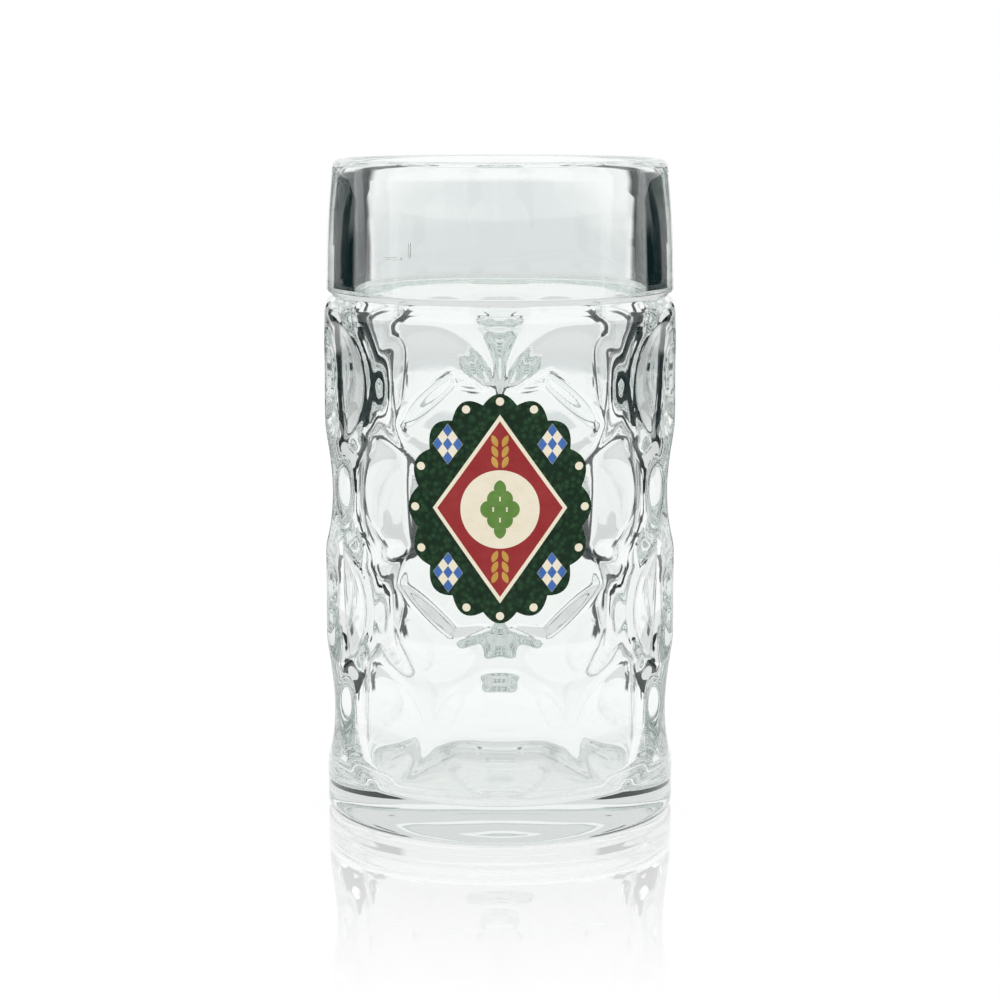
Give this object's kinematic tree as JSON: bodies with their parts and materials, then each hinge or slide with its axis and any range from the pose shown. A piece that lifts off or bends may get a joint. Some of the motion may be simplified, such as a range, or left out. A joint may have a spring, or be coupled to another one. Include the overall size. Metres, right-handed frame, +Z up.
{
  "type": "beer mug",
  "caption": "Tall thick-walled clear glass beer mug with rows of round hollow eyes, a smooth neck, a fired picture panel and a solid glass handle.",
  "frame": {"origin": "middle of the foot ring on the table plane, on the mug's axis", "axes": "+Z up the mug's axis to the lip, -Y out of the picture panel, +Y out to the handle"},
  "size_m": [0.109, 0.1582, 0.203],
  "materials": {
    "glass": "fire-polished clear soda-lime glass",
    "enamel_green": "glossy fired enamel",
    "enamel_cream": "glossy fired enamel",
    "enamel_red": "glossy fired enamel",
    "enamel_blue": "glossy fired enamel",
    "enamel_gold": "glossy fired enamel",
    "enamel_leaf": "glossy fired enamel"
  },
  "bodies": {
    "root": {"vessel": "glass", "handle": "glass", "print_green": "enamel_green", "print_cream": "enamel_cream", "print_red": "enamel_red", "print_blue": "enamel_blue", "print_gold": "enamel_gold", "print_leaf": "enamel_leaf"}
  },
  "joints": []
}
